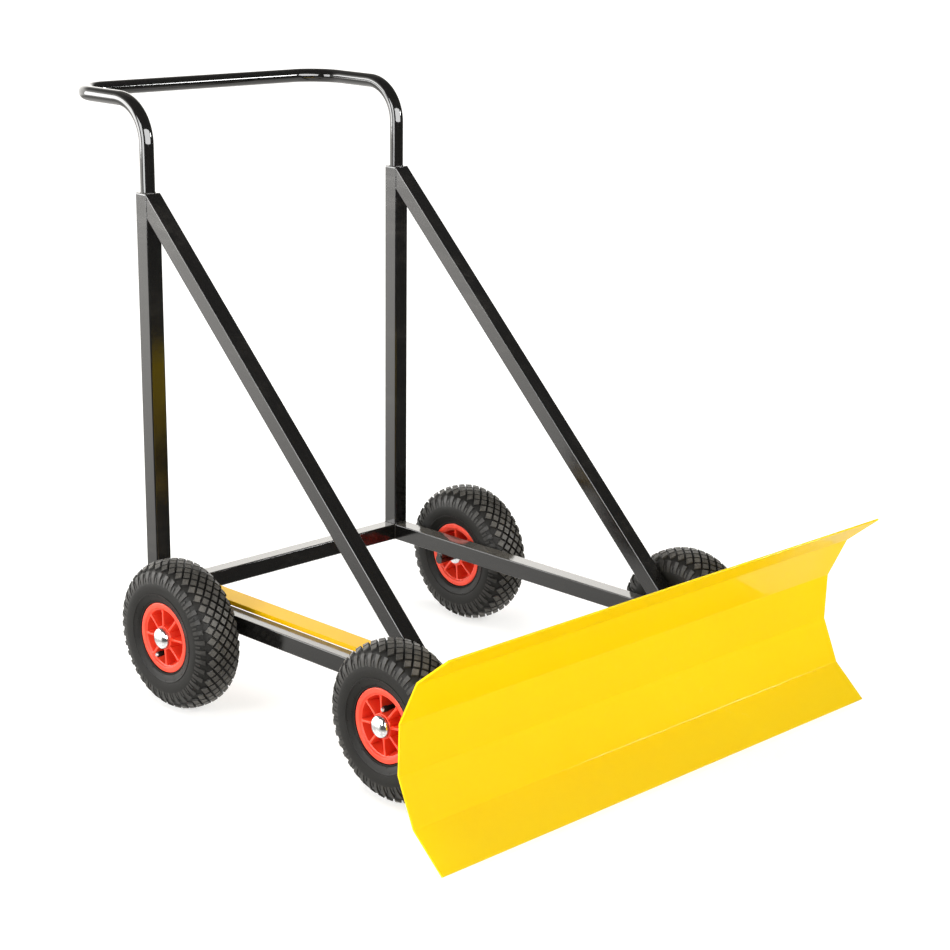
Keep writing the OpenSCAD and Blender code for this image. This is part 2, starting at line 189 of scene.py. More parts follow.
def black_paint(name, rough_low, rough_high, dust):
    """Gloss black paint: faint orange peel, slow changes of gloss, thin dust and rubbed patches, and paler
    level tops that are partly settled dust and partly a painted sheen.
    """
    black, dust_tone = (0.0045, 0.0043, 0.0040), (0.19, 0.175, 0.15)
    s = Shader(name).set(IOR=1.6)
    patches = s.noise(9, 5, 0.6)
    smears = s.noise(16, 6, 0.65, s.stretch((1.0, 0.35, 2.5)), distortion=0.6)
    haze = s.math("MULTIPLY", s.span(patches, 0.45, 0.75), s.span(smears, 0.48, 0.72))
    # Level tops are made paler: partly settled dust, partly a painted sheen standing in for the bright
    # surroundings they reflect.
    tops_dust_and_sheen = s.math("MULTIPLY", s.span(s.facing_up(), 0.8, 0.98), s.span(smears, 0.2, 0.7, 0.7, 1.3))
    dust_and_sheen = s.math("ADD", s.math("MULTIPLY", haze, dust), s.math("MULTIPLY", tops_dust_and_sheen, 2.6 * dust))
    # dust_tone here is the colour of the dust and also of the painted sheen on the tops.
    s.colour(s.mix(dust_and_sheen, black, dust_tone))
    s.rough(s.span(smears, 0.3, 0.75, rough_low, rough_high))
    grain = s.bump(s.noise(900, 2, 0.5), 0.00012, 0.10)
    s.bump(s.noise(140, 3, 0.5), 0.0004, 0.10, grain)
    return s.material


def yellow_paint(name, tone, coat):
    """Gloss yellow paint on sheet: orange peel, slight patches of tone and gloss, and fine dust."""
    s = Shader(name).set(IOR=1.45, Specular_IOR_Level=0.03, Coat_Weight=coat, Coat_Roughness=0.06)
    patches = s.noise(5, 5, 0.6)
    fine = s.noise(55, 6, 0.7)
    paler = tuple(c * k for c, k in zip(tone, (1.0, 1.05, 1.3)))
    dust_tone = (0.85, 0.70, 0.25)
    base = s.mix(s.span(patches, 0.3, 0.7), tone, paler)
    dust = s.math("MULTIPLY", s.span(fine, 0.6, 0.85), s.span(patches, 0.4, 0.8, 0.0, 0.1))
    s.colour(s.mix(dust, base, dust_tone))
    s.rough(s.span(patches, 0.25, 0.75, 0.32, 0.46))
    grain = s.bump(s.noise(1100, 2, 0.5), 0.00012, 0.12)
    s.bump(s.noise(120, 2, 0.5), 0.0005, 0.10, grain)
    return s.material


def tyre_rubber(name, worn, gloss, tops_only=False):
    """Moulded rubber with fine grain and a bloom of pale dust, in patches, or only on the blocks' tops so
    that their sides darken into the grooves as a painted shade.
    """
    rubber, bloom_tone = (0.0055, 0.0053, 0.0048), (0.27, 0.25, 0.215)
    s = Shader(name).set(IOR=1.45, Specular_IOR_Level=gloss)
    patches = s.noise(22, 6, 0.65)
    grit = s.noise(420, 5, 0.75)
    bloom = s.math("MULTIPLY", s.span(patches, 0.3, 0.7, 0.25, 1.0), s.span(grit, 0.35, 0.7, 0.35, 1.0))
    # On tread blocks the bloom keeps to the tops: dust there, and painted shade down the sides into the
    # grooves.
    if tops_only:
        bloom = s.math("MULTIPLY", bloom, s.attribute("top_share"))
    s.colour(s.mix(s.math("MULTIPLY", bloom, worn), rubber, bloom_tone))
    s.rough(s.span(patches, 0.3, 0.7, 0.38, 0.58))
    s.bump(grit, 0.0004, 0.35)
    return s.material


def rim_plastic():
    """Red moulded plastic: slightly mottled, satin, with a fine moulded grain."""
    deep_red, worn_red = (0.68, 0.036, 0.012), (0.78, 0.062, 0.026)
    s = Shader("red_moulded_plastic").set(IOR=1.49, Specular_IOR_Level=0.35)
    patches = s.noise(30, 5, 0.6)
    s.colour(s.mix(s.span(patches, 0.3, 0.7), deep_red, worn_red))
    s.rough(s.span(s.noise(70, 4, 0.6), 0.3, 0.7, 0.27, 0.42))
    s.bump(s.noise(700, 3, 0.6), 0.0002, 0.12)
    return s.material


def zinc(name, tint, rough_low, rough_high):
    """Plated steel: brushed bands, faint spangle and slow changes of tone."""
    s = Shader(name).set(Metallic=1.0)
    spangle = s.speckle(260)
    brushed = s.noise(120, 5, 0.7, s.stretch((1.0, 6.0, 6.0)))
    s.colour(s.mix(s.span(spangle, 0.1, 0.7), tint, tuple(c * 0.78 for c in tint)))
    s.rough(s.span(brushed, 0.3, 0.75, rough_low, rough_high))
    s.bump(brushed, 0.00015, 0.25)
    return s.material


def dull_plastic():
    """Matt black moulded plastic with a coarse grain."""
    s = Shader("matt_black_plastic").set(IOR=1.46)
    s.colour(s.mix(s.noise(60, 5, 0.6), (0.010, 0.010, 0.010), (0.035, 0.034, 0.032)))
    s.rough(s.span(s.noise(160, 4, 0.6), 0.3, 0.7, 0.42, 0.6))
    s.bump(s.noise(1200, 3, 0.6), 0.0002, 0.3)
    return s.material


def studio_paper(name, near, far):
    """White paper that glows a little more further out, as a lit backdrop does."""
    s = Shader(name).set(Roughness=0.9, Specular_IOR_Level=0.0)
    s.surface.inputs["Emission Color"].default_value = (1.0, 0.995, 0.985, 1)
    away = s.tree.nodes.new("ShaderNodeVectorMath")
    away.operation = "LENGTH"
    s.link(s.coords, away.inputs[0])
    s.link(s.span(away.outputs["Value"], 0.8, 3.2, near, far), s.surface.inputs["Emission Strength"])
    s.colour(s.mix(s.noise(0.8, 3, 0.5), (0.50, 0.496, 0.488), (0.52, 0.517, 0.51)))
    return s.material


# The last number sets the dust and also the painted sheen on the level tops.
BLACK = black_paint("gloss_black_frame_paint", 0.08, 0.17, 0.14)
HANDLE_BLACK = black_paint("high_gloss_black_handle_paint", 0.02, 0.05, 0.03)
YELLOW = yellow_paint("gloss_yellow_blade_paint", (0.765, 0.51, 0.001), 0.3)
# The strut wears the blade's paint; this darker, more orange copy of it is painted shade.
SHADED_STRUT_YELLOW = yellow_paint("blade_paint_shaded_for_strut", (0.70, 0.39, 0.002), 0.12)
RED = rim_plastic()
TREAD = tyre_rubber("tyre_tread_rubber", 0.42, 0.3, tops_only=True)
SIDEWALL = tyre_rubber("tyre_sidewall_rubber", 0.035, 0.16)
DARK_RUBBER = tyre_rubber("dark_rubber", 0.01, 0.12)
ZINC = zinc("zinc_plated_steel", (0.66, 0.67, 0.69), 0.22, 0.42)
STEEL = zinc("ground_bearing_steel", (0.50, 0.50, 0.51), 0.18, 0.34)
CHROME = zinc("bright_plated_cap", (0.90, 0.905, 0.91), 0.05, 0.14)
PLASTIC = dull_plastic()

# ---------------------------------------------------------------- mesh helpers


def piece(name, verts, faces, material, body, slot, replaces=(), sharp=35, top_share=None):
    """One mesh object that rides on a CAD body, smooth except across edges of sharp degrees or more."""
    mesh = bpy.data.meshes.new(name)
    mesh.from_pydata([tuple(v) for v in verts], [], faces)
    bm = bmesh.new()
    bm.from_mesh(mesh)
    bmesh.ops.recalc_face_normals(bm, faces=bm.faces)
    bm.to_mesh(mesh)
    bm.free()
    if top_share:
        shares = mesh.attributes.new("top_share", "FLOAT", "POINT")
        shares.data.foreach_set("value", top_share)
    for polygon in mesh.polygons:
        polygon.use_smooth = True
    mesh.set_sharp_from_angle(angle=math.radians(sharp))
    mesh.materials.append(material)
    obj = bpy.data.objects.new(name, mesh)
    bpy.context.scene.collection.objects.link(obj)
    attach(obj, body)
    if replaces:
        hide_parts(*replaces)
    return obj


def merge(parts):
    """Several (verts, faces) as one."""
    verts, faces = [], []
    for part_verts, part_faces in parts:
        start = len(verts)
        verts += part_verts
        faces += [tuple(i + start for i in f) for f in part_faces]
    return verts, faces


def rings(loops, closed_ends=True, closed_path=False):
    """Skins a list of equal loops of points into (verts, faces)."""
    count, verts, faces = len(loops[0]), [], []
    for loop in loops:
        verts += loop
    spans = len(loops) if closed_path else len(loops) - 1
    for i in range(spans):
        a, b = i * count, ((i + 1) % len(loops)) * count
        for j in range(count):
            k = (j + 1) % count
            faces.append((a + j, a + k, b + k, b + j))
    if closed_ends and not closed_path:
        faces.append(tuple(range(count)))
        faces.append(tuple(range(len(verts) - count, len(verts))))
    return verts, faces


def fillet(points, radius, steps):
    """A closed polyline with its corners rounded. radius is one number, or one for each point."""
    nearly_straight = math.radians(88.5)
    out, n = [], len(points)
    for i, p in enumerate(points):
        r = radius[i] if isinstance(radius, (list, tuple)) else radius
        if r <= 0:
            out.append(tuple(p))
            continue
        p = Vector(p)
        to_last, to_next = Vector(points[i - 1]) - p, Vector(points[(i + 1) % n]) - p
        half = to_last.angle(to_next) / 2
        if half > nearly_straight:
            out.append(tuple(p))
            continue
        back = min(r / math.tan(half), to_last.length * 0.49, to_next.length * 0.49)
        r = back * math.tan(half)
        start, end = p + to_last.normalized() * back, p + to_next.normalized() * back
        centre = p + (to_last.normalized() + to_next.normalized()).normalized() * (r / math.sin(half))
        a, b = start - centre, end - centre
        for k in range(steps + 1):
            t = k / steps
            turn = a.lerp(b, t)
            turn = turn.normalized() * r if turn.length > 1e-9 else turn
            out.append(tuple(centre + turn))
    return out


def hold_flats(points, back=0.8, least=5):
    """Adds points near both ends of each long straight stretch, so that a flat face shades flat."""
    out = []
    for i, p in enumerate(points):
        start, end = Vector(p), Vector(points[(i + 1) % len(points)])
        out.append(tuple(start))
        if (end - start).length > least:
            step = (end - start).normalized() * back
            out += [tuple(start + step), tuple(end - step)]
    return out


def square_loop(size, radius):
    """A square's outline with rounded corners, round the middle."""
    h = size / 2
    return hold_flats(fillet([(h, h), (-h, h), (-h, -h), (h, -h)], radius, 5))


def square_tube(start, end, side_way, start_cut=None, end_cut=None, radius=2.4):
    """A square tube between two points in millimetres, cut at each end by a plane's normal."""
    start, end, e1 = Vector(start), Vector(end), Vector(side_way)
    d = (end - start).normalized()
    e2 = d.cross(e1).normalized()
    outer = square_loop(TUBE, radius)
    inner = square_loop(TUBE - 2 * TUBE_WALL, max(radius - TUBE_WALL, 0.4))

    def cut_loop(outline, origin, cut):
        normal = Vector(cut) if cut else d
        loop = []
        for a, b in outline:
            off = e1 * a + e2 * b
            loop.append(at(*(origin + off - d * (off.dot(normal) / d.dot(normal)))))
        return loop

    loops = [
        cut_loop(outer, start, start_cut), cut_loop(outer, end, end_cut),
        cut_loop(inner, end, end_cut), cut_loop(inner, start, start_cut),
    ]
    return rings(loops, closed_path=True)


def turns(count):
    """The angles of evenly spaced points round a circle."""
    return [FULL_TURN * k / count for k in range(count)]


def sweep(path, radius, sides, closed=False):
    """A round bar along points in millimetres. radius is a number or a function of the point's number."""
    path = [Vector(p) for p in path]
    n, loops, normal = len(path), [], None
    for i, p in enumerate(path):
        before = path[i - 1] if closed or i else p
        after = path[(i + 1) % n] if closed or i < n - 1 else p
        d = (after - before).normalized()
        if normal is None:
            normal = d.orthogonal().normalized()
        normal = (normal - d * normal.dot(d)).normalized()
        other = d.cross(normal)
        r = radius(i) if callable(radius) else radius
        loops.append([at(*(p + (normal * math.cos(t) + other * math.sin(t)) * r)) for t in turns(sides)])
    return rings(loops, closed_path=closed)


def lathe(profile, place, count, closed=False):
    """Turns (radius, along) points about an axis. place(radius, angle, along) gives the frame's point."""
    loops = [[place(r, t, x) for t in turns(count)] for r, x in profile]
    return rings(loops, closed_ends=False, closed_path=closed)


def bead(path, radius, seed, closed=False, step=1.0):
    """A weld bead along points in millimetres: overlapping ripples with small uneven places."""
    ripple, patch = 3.2, 6
    rng = random.Random(seed)
    path = [Vector(p) for p in path]
    if closed:
        path.append(path[0])
    fine = []
    for a, b in zip(path[:-1], path[1:]):
        n = max(2, int((b - a).length / step))
        fine += [a.lerp(b, k / n) for k in range(n)]
    if not closed:
        fine.append(path[-1])
    uneven = [rng.uniform(0.88, 1.12) for _ in range(len(fine) // patch + 3)]

    def width(i):
        wave = 0.86 + 0.20 * abs(math.sin(math.pi * i * step / ripple))
        k, t = divmod(i / patch, 1)
        return radius * wave * (uneven[int(k)] * (1 - t) + uneven[int(k) + 1] * t)

    return sweep(fine, width, 8, closed=closed)


# ---------------------------------------------------------------- frame tubes

mid_z = RAIL_TOP - HALF
CROSSBARS = {"rear": 0, "front": RAIL_FRONT + HALF}
for side_name, side in SIDES.items():
    x = side * RAIL_X
    rail = square_tube((x, HALF, mid_z), (x, RAIL_FRONT, mid_z), (1, 0, 0), radius=1.5)
    piece(f"{side_name}_rail_tube", *rail, BLACK, "frame", "frame_paint", [f"{side_name}_side_rail"])
    post = square_tube((x, 0, RAIL_TOP), (x, 0, UPRIGHT_TOP), (1, 0, 0))
    piece(f"{side_name}_post_tube", *post, BLACK, "frame", "frame_paint", [f"{side_name}_upright"])

for name, y in CROSSBARS.items():
    bar = square_tube((HALF - RAIL_X, y, mid_z), (RAIL_X - HALF, y, mid_z), (0, 1, 0))
    piece(f"{name}_crossbar_tube", *bar, BLACK, "frame", "frame_paint", [f"{name}_crossbar"])

# The braces' upper face runs from the cap plate's top to the front of the foot.
foot_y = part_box("left_brace")[0].y * 1000 - UPRIGHT_Y
rise, run = CAP_TOP - RAIL_TOP, -HALF - foot_y
slope = math.atan2(rise, run)
down = HALF / math.sin(slope)
level = HALF / math.cos(slope)
for side_name, side in SIDES.items():
    x = side * RAIL_X
    foot, head = (x, foot_y + down, RAIL_TOP), (x, -HALF, CAP_TOP - level)
    brace = square_tube(foot, head, (1, 0, 0), (0, 0, 1), (0, 1, 0))
    piece(f"{side_name}_brace_tube", *brace, BLACK, "frame", "frame_paint", [f"{side_name}_brace"])

# ---------------------------------------------------------------- handle

handle_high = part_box("push_handle")[1]
HANDLE_R = handle_high.x * 1000 - RAIL_X
GRIP_Z = handle_high.z * 1000 - HANDLE_R
GRIP_Y = handle_high.y * 1000 - UPRIGHT_Y - HANDLE_R
LEG_BEND, GRIP_BEND = 70, 68
LEG_SOCKET = 55
QUARTER_TURN = [math.radians(t) for t in range(0, 91, 5)]


def handle_half(side):
    """Points from the leg's bottom inside the upright to the middle of the grip."""
    x = side * RAIL_X
    points = [(x, 0, UPRIGHT_TOP - LEG_SOCKET), (x, 0, GRIP_Z - LEG_BEND - 25)]
    for a in QUARTER_TURN:
        points.append((x, LEG_BEND * (1 - math.cos(a)), GRIP_Z - LEG_BEND * (1 - math.sin(a))))
    for a in QUARTER_TURN:
        inwards = GRIP_BEND * (1 - math.cos(a))
        points.append((side * (RAIL_X - inwards), GRIP_Y - GRIP_BEND * (1 - math.sin(a)), GRIP_Z))
    return points


handle = sweep(handle_half(RIGHT) + handle_half(LEFT)[::-1], HANDLE_R, 48)
piece("bent_push_handle", *handle, HANDLE_BLACK, "frame", "handle_paint", ["push_handle"], sharp=60)

# The plates that close the uprights, slightly domed by grinding, with the weld round each leg.
cap_t = CAP_TOP - UPRIGHT_TOP
for side_name, side in SIDES.items():
    loops = []
    for size, z in ((TUBE, 0), (TUBE, cap_t - 1.2), (TUBE - 0.8, cap_t - 0.4), (TUBE - 2.4, cap_t)):
        loops.append([at(side * RAIL_X + a, b, UPRIGHT_TOP + z) for a, b in square_loop(size, size / 10)])
    replaced = ["upright_caps"] if side == LEFT else []
    piece(f"{side_name}_post_cap", *rings(loops), BLACK, "frame", "frame_paint", replaced, sharp=50)

# ---------------------------------------------------------------- weld beads on the frame

welds = []


def weld(start, end, radius, seed):
    """A straight weld between two points in millimetres. The seed sets where it is uneven."""
    welds.append(bead([start, end], radius, seed))


# How far a bead stops short of a tube's edge, and where the rails' underside and the braces' ends are.
EDGE = 2
rail_under = RAIL_TOP - TUBE
foot_back = foot_y + 2 * down
head_low = CAP_TOP - 2 * level
for side in (LEFT, RIGHT):
    x, inner = side * RAIL_X, side * (RAIL_X - HALF)
    inset = side * (HALF - 2.5)
    # the foot of the upright on the rail
    weld((x - inset, -HALF, RAIL_TOP + 0.3), (x + inset, -HALF, RAIL_TOP + 0.3), 1.9, 11 + side)
    foot_z = RAIL_TOP - (0.6 if side == LEFT else 1.7)  # on the right the strut passes just above
    weld((inner, HALF - EDGE, foot_z), (inner, -HALF + EDGE, foot_z), 1.5, 21 + side)
    weld((x - inset, HALF, RAIL_TOP), (x + inset, HALF, RAIL_TOP), 1.2, 31 + side)
    # each crossbar on the rail: in front, behind and below
    reach = HALF - EDGE
    for k, (y, behind, radius, seed) in enumerate((
        (CROSSBARS["rear"], HALF - 0.4, 0.9, 51), (CROSSBARS["front"], HALF, 1.9, 61),
    )):
        weld((inner, y - HALF, mid_z - reach), (inner, y - HALF, mid_z + reach), 1.9, 41 + side + 3 * k)
        weld((inner, y + behind, mid_z - reach), (inner, y + behind, mid_z + reach), radius, seed + side)
        weld((inner, y - reach, rail_under), (inner, y + reach, rail_under), 1.4, 71 + side + 3 * k)
    # the foot of the brace on the rail, and its head on the upright
    weld((x - inset, foot_y, RAIL_TOP + 0.2), (x + inset, foot_y, RAIL_TOP + 0.2), 1.7, 81 + side)
    weld((x - inset, foot_back, RAIL_TOP + 0.2), (x + inset, foot_back, RAIL_TOP + 0.2), 1.9, 91 + side)
    for face in (-1, 1):
        seed = side + 5 * face
        skin = x + face * (HALF - 0.4)
        weld((skin, foot_y + 3, RAIL_TOP - 0.3), (skin, foot_back - 3, RAIL_TOP - 0.3), 0.9, 101 + seed)
        weld((skin, -HALF + 0.3, CAP_TOP - 4), (skin, -HALF + 0.3, head_low + 3), 1.3, 111 + seed)
        # the axle blocks under the rail
        block_x = x + face * (HALF - 0.6)
        for axle_y in AXLES.values():
            weld((block_x, axle_y - 6, rail_under), (block_x, axle_y + 6, rail_under), 1.2, 141 + seed)
    weld((x - inset, -HALF, head_low), (x + inset, -HALF, head_low), 1.9, 121 + side)
    weld((x - inset, -HALF - 0.5, CAP_TOP - 0.9), (x + inset, -HALF - 0.5, CAP_TOP - 0.9), 1.1, 151 + side)
    # round the handle's leg on the plate
    ring = [(x + HANDLE_R * math.cos(t), HANDLE_R * math.sin(t), CAP_TOP) for t in turns(40)]
    welds.append(bead(ring, 1.1, 131 + side, closed=True, step=1.6))
piece("frame_weld_beads", *merge(welds), BLACK, "frame", "frame_paint", (), sharp=60)

# ---------------------------------------------------------------- blade

BLADE_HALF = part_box("blade")[1].x * 1000
FLAT, FLATS, FIRST_SLOPE, FOLD, SHEET = 81, 5, 41.5, 25, 3
BLADE_Y, BLADE_Z = -957, 12.5
BEND_BACK, BEND_FRONT, CUT_EDGE = 6.0, 3.2, 0.6


def fold_points(offset):
    """The folded line, moved sideways by offset to one face of the sheet."""
    line, p = [Vector((0, 0))], Vector((0, 0))
    for k in range(FLATS):
        a = math.radians(FIRST_SLOPE + FOLD * k)
        p = p + Vector((math.cos(a), math.sin(a))) * FLAT
        line.append(p)
    out = []
    for k, q in enumerate(line):
        before = math.radians(FIRST_SLOPE + FOLD * max(k - 1, 0))
        after = math.radians(FIRST_SLOPE + FOLD * min(k, FLATS - 1))
        mid, half = (before + after) / 2, (after - before) / 2
        out.append(q + Vector((math.sin(mid), -math.cos(mid))) * (offset / math.cos(half)))
    return out


def blade_section():
    """The sheet's outline with bend radii at the folds and softened cut edges."""
    back = fold_points(SHEET / 2)
    front = fold_points(-SHEET / 2)
    back_radii = [CUT_EDGE] + [BEND_BACK] * (FLATS - 1) + [CUT_EDGE]
    front_radii = [CUT_EDGE] + [BEND_FRONT] * (FLATS - 1) + [CUT_EDGE]
    return hold_flats(fillet([tuple(p) for p in back + front[::-1]], back_radii + front_radii, 5))


section = blade_section()
near_end = BLADE_HALF - 0.5
steps = 12
stations = [-BLADE_HALF] + [-near_end + 2 * near_end * k / steps for k in range(steps + 1)] + [BLADE_HALF]
loops = []
for x in stations:
    # the outermost section is a touch smaller, which softens the sheet's ends
    scale = 0.9994 if abs(x) == BLADE_HALF else 1.0
    loops.append([at(x, BLADE_Y + a * scale, BLADE_Z + b * scale) for a, b in section])
piece("folded_blade_sheet", *rings(loops), YELLOW, "blade", "blade_paint", ["blade"], sharp=32)

# ---------------------------------------------------------------- strut

strut_low, strut_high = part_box("angle_strut")
low = Vector((strut_low.x, strut_low.y - UPRIGHT_Y * MM, strut_low.z)) * 1000
high = Vector((strut_high.x, strut_high.y - UPRIGHT_Y * MM, strut_high.z)) * 1000
outline = [(high.x, high.z), (low.x, high.z), (low.x, low.z), (high.x, low.z)]
outline = hold_flats(fillet(outline, 0.4, 3), back=0.4)
bar = rings([[at(a, y, b) for a, b in outline] for y in (low.y, high.y)])
# The strut takes the darker copy of the blade paint, a painted shade.
piece("flat_bar_strut", *bar, SHADED_STRUT_YELLOW, "strut", "blade_paint", ["angle_strut"], sharp=50)

# ---------------------------------------------------------------- wheels

tyre_low, tyre_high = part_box("rear_left_tyre")
TYRE_R = (tyre_high.z - tyre_low.z) * 500
TYRE_HALF = (tyre_high.x - tyre_low.x) * 500
# Radius and half width where the side wall is widest and where it meets the rim.
WIDEST_R, BEAD_R, BEAD_X = 88, 61.5, 32
CROWN_POWER = 0.8


def wheel_point(side, y, r, angle, out):
    """Turns a place on one wheel into millimetres: angle runs from backwards towards up."""
    return side * (WHEEL_X + out), y + r * math.cos(angle), AXLE_Z + r * math.sin(angle)


def wheel_place(side, y):
    """Makes a function that turns (radius, angle, outwards) on one wheel into a point of the frame."""
    return lambda r, angle, out: at(*wheel_point(side, y, r, angle, out))


def crown(t, sink):
    """The crown's (radius, outwards) at t degrees from the middle, sink below the tread's top."""
    a = math.radians(abs(t))
    out = (TYRE_HALF - 0.25 * sink) * math.sin(a) ** CROWN_POWER
    return WIDEST_R + (TYRE_R - sink - WIDEST_R) * math.cos(a) ** CROWN_POWER, math.copysign(out, t)


def side_wall(t):
    """From the widest point, t = 0, in to the rim, t = 90."""
    a = math.radians(t)
    return WIDEST_R - (WIDEST_R - BEAD_R) * math.sin(a), BEAD_X + (TYRE_HALF - 0.4 - BEAD_X) * math.cos(a)


def arc_to_turn(s):
    """The crown angle, in degrees, whose outwards distance is s millimetres."""
    return math.copysign(math.degrees(math.asin(min(1, abs(s) / TYRE_HALF) ** (1 / CROWN_POWER))), s)


# The tread's depth, its rows on each side of the middle one, the blocks round each row, the rows' spacing,
# and half a block's width and length as shares of that spacing and of the pitch.
GROOVE, ROWS, PITCHES, ROW_GAP = 4.6, 3, 40, 8.9
BLOCK_WIDTH, BLOCK_LENGTH = 0.77, 0.395


def moulded_ring(t, lead, height, drop):
    """A thin raised ring on the side wall: its outer foot, its flat top and its inner foot."""
    r, x = side_wall(t)
    return [(r + lead, x), (r, x + height), (r - 1.2, x + height), (r - 1.8, x - drop)]


def tyre_carcass(place):
    """The tyre's turned shape under the tread, with two moulded rings on each side wall."""
    profile = []
    for t in (0, 12, 24, 35, 45, 54, 62, 69, 75, 80, 85):
        profile.append(crown(t, GROOVE * min(1, 1 - (t - 77) / 10)))
    for t in (0, 6, 12, 18):
        profile.append(side_wall(t))
    profile += moulded_ring(22, 0.5, 0.75, 0.1)
    for t in (32, 40, 48, 56, 63):
        profile.append(side_wall(t))
    profile += moulded_ring(67, 0.6, 0.8, 0.0)
    for t in (76, 83, 90):
        profile.append(side_wall(t))
    # the bead, out of sight inside the rim's flange
    profile += [(60.5, 30), (52, 28)]
    other = [(r, -x) for r, x in profile[1:]][::-1]
    return lathe(other + profile, place, 96)


# A block's three outlines from its foot up: size, depth below the top, and its share of the pale bloom,
# which is dust on the top and, fading to none at the foot, a painted shade down the sides.
BLOCK_OUTLINES = ((1.0, GROOVE + 0.6, 0.0), (0.97, 0.9, 0.25), (0.87, 0.0, 1.0))
# The lugs' four edges likewise: pale dust along the top edges, painted shade at the feet.
LUG_DUST_AND_SHADE = (0.0, 0.3, 0.3, 0.0)


def tread_blocks(place, start):
    """Diamond blocks in offset rows across the crown."""
    parts = []
    turn = FULL_TURN / PITCHES
    for row in range(-ROWS, ROWS + 1):
        s = row * ROW_GAP
        for k in range(PITCHES):
            middle = start + turn * (k + (0.5 if row % 2 else 0))
            loops = []
            for scale, sink, _ in BLOCK_OUTLINES:
                loop = []
                for ds, da in ((0, -1), (1, 0), (0, 1), (-1, 0)):
                    t = arc_to_turn(s + ds * ROW_GAP * BLOCK_WIDTH * scale)
                    r, x = crown(t, sink)
                    loop.append(place(r, middle + da * turn * BLOCK_LENGTH * scale, x))
                loops.append(loop)
            # a block has no bottom face
            verts, faces = rings(loops)
            parts.append((verts, faces[:-2] + faces[-1:]))
    return merge(parts)


def shoulder_lugs(place, start):
    """Blocks that run over the shoulder, with short fine teeth between their feet."""
    parts = []
    turn = FULL_TURN / PITCHES
    # offset round the tyre and half width in pitches, height in groove depths, angles down the shoulder
    lug = (0.5, 0.27, 1.0, (54, 63, 72, 80, 86))
    tooth = (1.0, 0.11, 0.6, (68, 76, 82, 87))
    for out_side in (-1, 1):
        for k in range(PITCHES):
            for offset, wide, lift, marks in (lug, tooth):
                centre = start + turn * (k + offset)
                loops = []
                for i, t in enumerate(marks):
                    share = i / (len(marks) - 1)
                    fade = 1 - 0.45 * share ** 2
                    half = wide * turn * (1 - 0.30 * share)
                    top, base = crown(t, GROOVE * (1 - lift * fade) + 0.05), crown(t, GROOVE + 0.8)
                    loops.append([
                        place(base[0], centre - half, out_side * base[1]),
                        place(top[0], centre - half * 0.84, out_side * top[1]),
                        place(top[0], centre + half * 0.84, out_side * top[1]),
                        place(base[0], centre + half, out_side * base[1]),
                    ])
                parts.append(rings(loops))
    return merge(parts)


def vent_pips(place, seed, out_side):
    """Small round rubber pips left by the mould on the side wall."""
    rng = random.Random(seed)
    parts = []
    # two circles of them: degrees in from the widest point, and how many
    for t, count in ((30, 18), (52, 14)):
        shift = rng.uniform(0, 1)
        for k in range(count):
            r0, x0 = side_wall(t + rng.uniform(-2, 2))
            angle = FULL_TURN * (k + shift + rng.uniform(-0.12, 0.12)) / count
            loops = []
            for size, lift in ((1.25, -0.4), (1.15, 0.25), (0.6, 0.55)):
                loop = []
                for a in turns(8):
                    r = r0 + size * math.cos(a)
                    out = x0 + lift + (r - r0) * 0.35
                    loop.append(place(r, angle + size * math.sin(a) / r0, out_side * out))
                loops.append(loop)
            parts.append(rings(loops))
    return merge(parts)


RIM_R, SEAT_R, HUB_R, FLANGE, HUB_HALF = 61.0, 50.0, 22.0, 35.8, 36.5
RIBS = 8


def rim_body(place):
    """The rim's turned shape: rounded flanges, the tapered barrel, the web and the hub."""
    half = [
        (SEAT_R, 26), (SEAT_R + 0.4, 31.8), (RIM_R, 32.2), (RIM_R, FLANGE),
        (52.5, FLANGE), (50.2, FLANGE - 2.6), (48.6, FLANGE - 3.2), (44.0, 4.2),
        (HUB_R + 1, 3.4), (HUB_R - 1, 30), (HUB_R - 1.5, HUB_HALF), (14.2, HUB_HALF),
    ]
    radii = [0, 0.6, 1.2, 1.8, 1.6, 0.8, 1.0, 3.5, 3.0, 0.6, 1.0, 0]
    other = [(r, -x) for r, x in half][::-1]
    outline = fillet(half + other, radii + radii[::-1], 4)
    return lathe(outline, place, 96, closed=True)


def rim_ribs(place, start):
    """Straight ribs from hub to rim on both faces, narrowest in the middle, with rounded edges."""
    # radius, height above the wheel's middle plane, half width
    stations = ((HUB_R - 3, 34.8, 2.5), (27, 34.6, 2.1), (36, 34.4, 1.9), (44, 34.2, 2.1), (48.8, 34.0, 2.8))
    parts = []
    for out_side in (-1, 1):
        for k in range(RIBS):
            angle = start + FULL_TURN * k / RIBS
            loops = []
            for r, top, wide in stations:
                outline = [(-wide - 0.5, 2), (-wide, top), (wide, top), (wide + 0.5, 2)]
                shape = fillet(outline, [0, 1.1, 1.1, 0], 3)
                loops.append([place(r, angle + a / r, out_side * x) for a, x in shape])
            parts.append(rings(loops))
    return merge(parts)


def valve_part(side, axle_y, angle, stations):
    """A round bar through the stations of a valve on one wheel."""
    path = [wheel_point(side, axle_y, r, angle, out) for r, out, _ in stations]
    return sweep(path, lambda i: stations[i][2], 24)


# The stem comes through the rim between two ribs, bends outwards and ends in a ribbed dust cap.
# Each station is the wheel's radius, the distance outwards and the stem's own radius.
STEM = [
    (46.5, 12, 5.2), (44, 12, 5.2), (43.4, 12, 4.6), (37, 12, 4.4), (34.6, 12.8, 4.3), (33.4, 14.6, 4.2),
    (33, 17, 4.1), (33, 31, 3.9), (33, 32.5, 3.9), (33, 33, 4.9), (33, 40.5, 4.7), (33, 41, 4.2),
]
TIP = [(33, 40.5, 3.2), (33, 43.2, 3.1), (33, 43.9, 2.5)]
